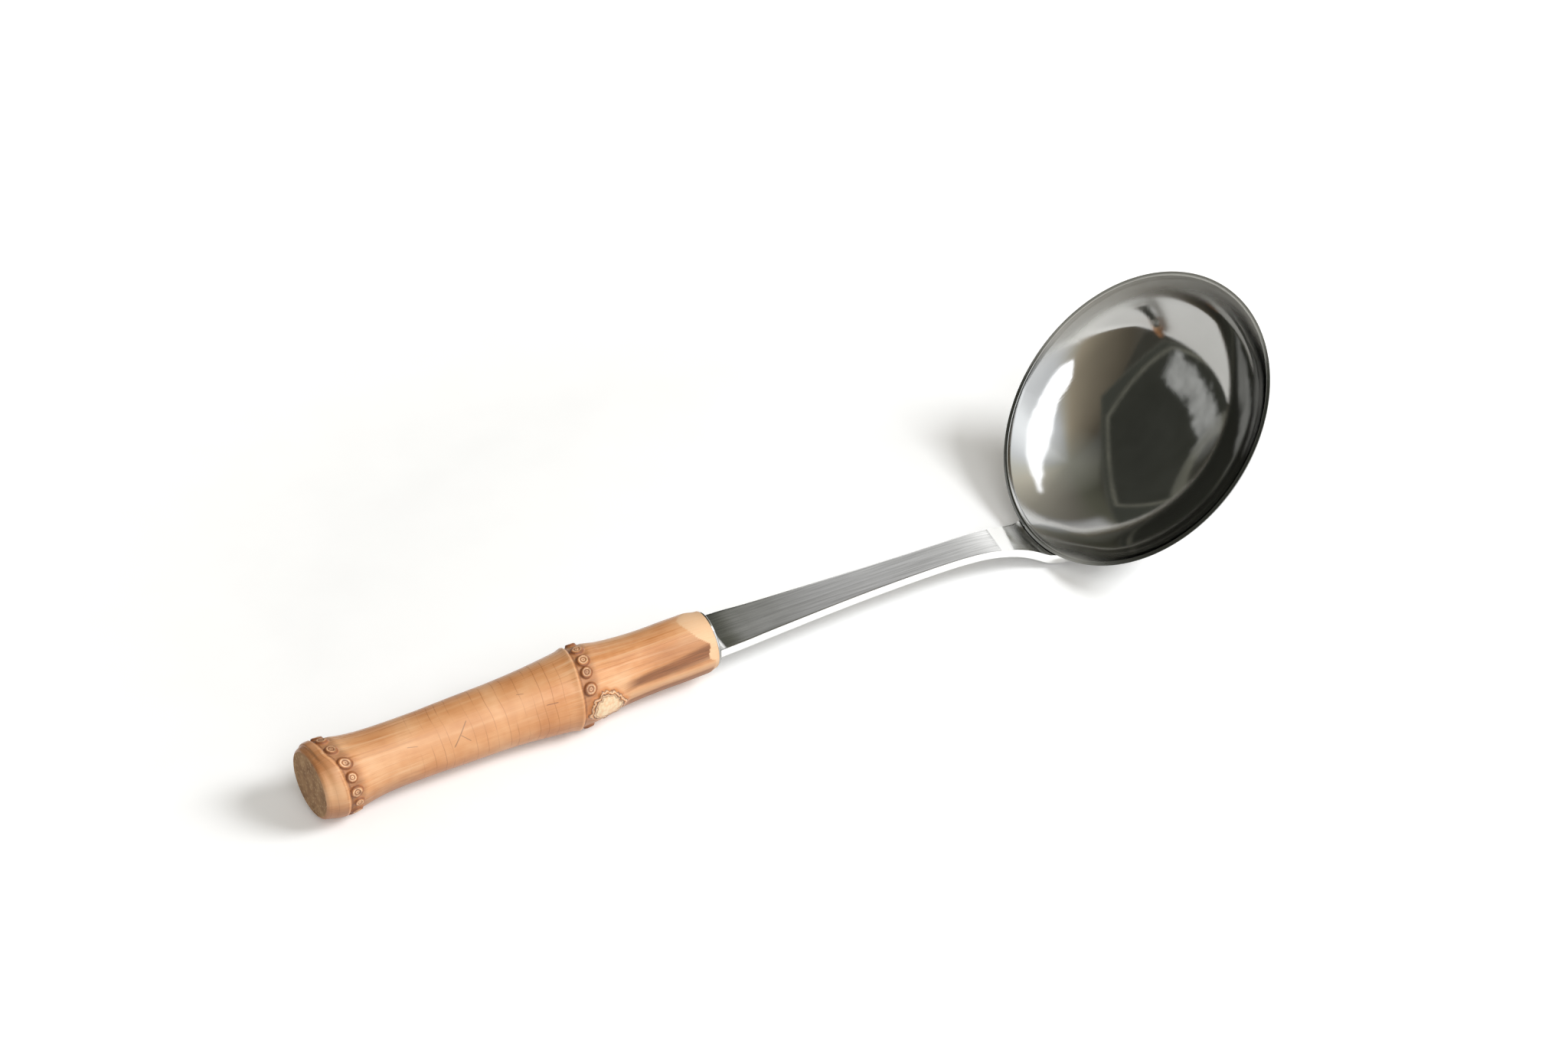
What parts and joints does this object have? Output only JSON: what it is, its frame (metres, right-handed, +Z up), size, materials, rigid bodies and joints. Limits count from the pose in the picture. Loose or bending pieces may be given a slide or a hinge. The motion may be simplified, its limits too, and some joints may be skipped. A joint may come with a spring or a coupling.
{
  "type": "ladle",
  "caption": "Ladle with a shallow round polished steel bowl, a flat tapering steel shank and a bamboo-root handle with two knobbly nodes.",
  "frame": {"origin": "middle of the base of the ladle's bounding box, on the table it lies on", "axes": "+X along the handle towards the bowl, +Z up, the bowl's mouth facing up and back over the shank"},
  "size_m": [0.3016, 0.0948, 0.071],
  "materials": {
    "polished_steel": "mirror-polished stainless steel with fine wiping scratches",
    "brushed_steel": "stainless steel brushed along its length",
    "weld_steel": "ground and lightly polished weld metal",
    "bamboo": "bamboo root, scraped and waxed to a satin sheen",
    "epoxy": "cured adhesive, hidden in the handle"
  },
  "bodies": {
    "root": {"bowl": "polished_steel", "bowl_weld": "weld_steel", "shank": "brushed_steel", "root_weld": "polished_steel", "bolster_plate": "polished_steel", "tang_rod": "brushed_steel", "handle_adhesive": "epoxy", "handle": "bamboo"}
  },
  "joints": []
}
